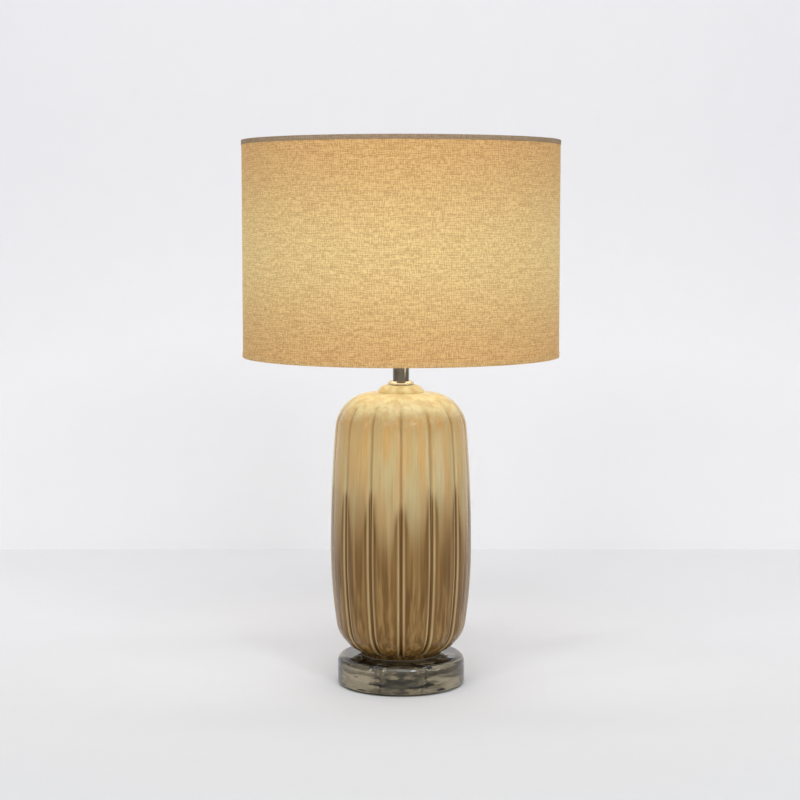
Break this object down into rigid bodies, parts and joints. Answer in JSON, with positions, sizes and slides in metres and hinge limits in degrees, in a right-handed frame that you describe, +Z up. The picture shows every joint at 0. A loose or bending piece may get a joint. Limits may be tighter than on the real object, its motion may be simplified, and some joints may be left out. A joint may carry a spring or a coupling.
{
  "type": "table lamp",
  "caption": "Table lamp: lobed glazed ceramic body on a clear disc base, turn-switch lampholder with screw-in bulb, and a linen drum shade clamped by a ring.",
  "frame": {"origin": "on the table under the lamp's axis, at the bottom of the feet", "axes": "+Z up along the lamp's axis; -Y is the front; the cord entry faces +Y and the switch knob +X"},
  "size_m": [0.35, 0.35, 0.6045],
  "materials": {
    "clear_glass": "polished clear crystal",
    "reactive_glaze": "glossy two-tone glaze, cream over brown",
    "chrome_plate": "bright plated",
    "zinc_steel": "zinc plated",
    "clear_rubber": "translucent soft pad",
    "bush_plastic": "moulded",
    "holder_black": "moulded, satin",
    "porcelain": "plain fired",
    "brass_contact": "stamped",
    "nickel_cap": "nickel plated thread",
    "bulb_white": "moulded white",
    "bulb_opal": "opal diffuser, lit warm white",
    "board_aluminium": "white solder mask",
    "linen": "slubby plain weave",
    "linen_hem": "folded plain weave",
    "liner_film": "translucent film",
    "white_wire": "white powder coat"
  },
  "bodies": {
    "stand": {"rubber_feet": "clear_rubber", "crystal_base": "clear_glass", "recess_cover": "bush_plastic", "base_washer": "zinc_steel", "base_lock_washer": "zinc_steel", "base_nut": "zinc_steel", "cord_bushing": "bush_plastic", "body_gasket": "clear_rubber", "ceramic_body": "reactive_glaze", "lower_centring_bush": "bush_plastic", "upper_centring_bush": "bush_plastic", "threaded_pipe": "zinc_steel", "neck_gasket": "clear_rubber", "neck_cap": "chrome_plate", "neck_tube": "chrome_plate", "holder_cap": "holder_black", "holder_grub_screw": "zinc_steel", "holder_barrel": "holder_black", "contact_carrier": "porcelain", "screw_shell": "brass_contact", "centre_contact": "brass_contact", "terminal_screws": "brass_contact", "switch_bush": "brass_contact"},
    "switch": {"switch_shaft": "zinc_steel", "switch_knob": "holder_black"},
    "clamp": {"shade_clamp_ring": "holder_black"},
    "bulb": {"bulb_contact": "brass_contact", "bulb_insulator": "holder_black", "bulb_screw_cap": "nickel_cap", "bulb_housing": "bulb_white", "led_board": "board_aluminium", "bulb_globe": "bulb_opal"},
    "shade": {"shade_cover": "linen", "shade_liner": "liner_film", "top_hem": "linen_hem", "bottom_hem": "linen_hem", "top_wire_ring": "white_wire", "bottom_wire_ring": "white_wire", "fitter_ring": "white_wire", "fitter_arm_1": "white_wire", "fitter_arm_2": "white_wire", "fitter_arm_3": "white_wire"}
  },
  "joints": [
    {"name": "switch_turn", "type": "hinge", "parent": "stand", "child": "switch", "pos_m": [0.0301, 0, 0.389], "axis": [1, 0, 0], "continuous": true},
    {"name": "shade_turn", "type": "hinge", "parent": "stand", "child": "shade", "pos_m": [0, 0, 0.404], "axis": [0, 0, 1], "continuous": true},
    {"name": "clamp_unscrew", "type": "slide", "parent": "stand", "child": "clamp", "axis": [0, 0, 1], "range_m": [0, 0.02]},
    {"name": "bulb_unscrew", "type": "slide", "parent": "stand", "child": "bulb", "axis": [0, 0, 1], "range_m": [0, 0.2]}
  ]
}
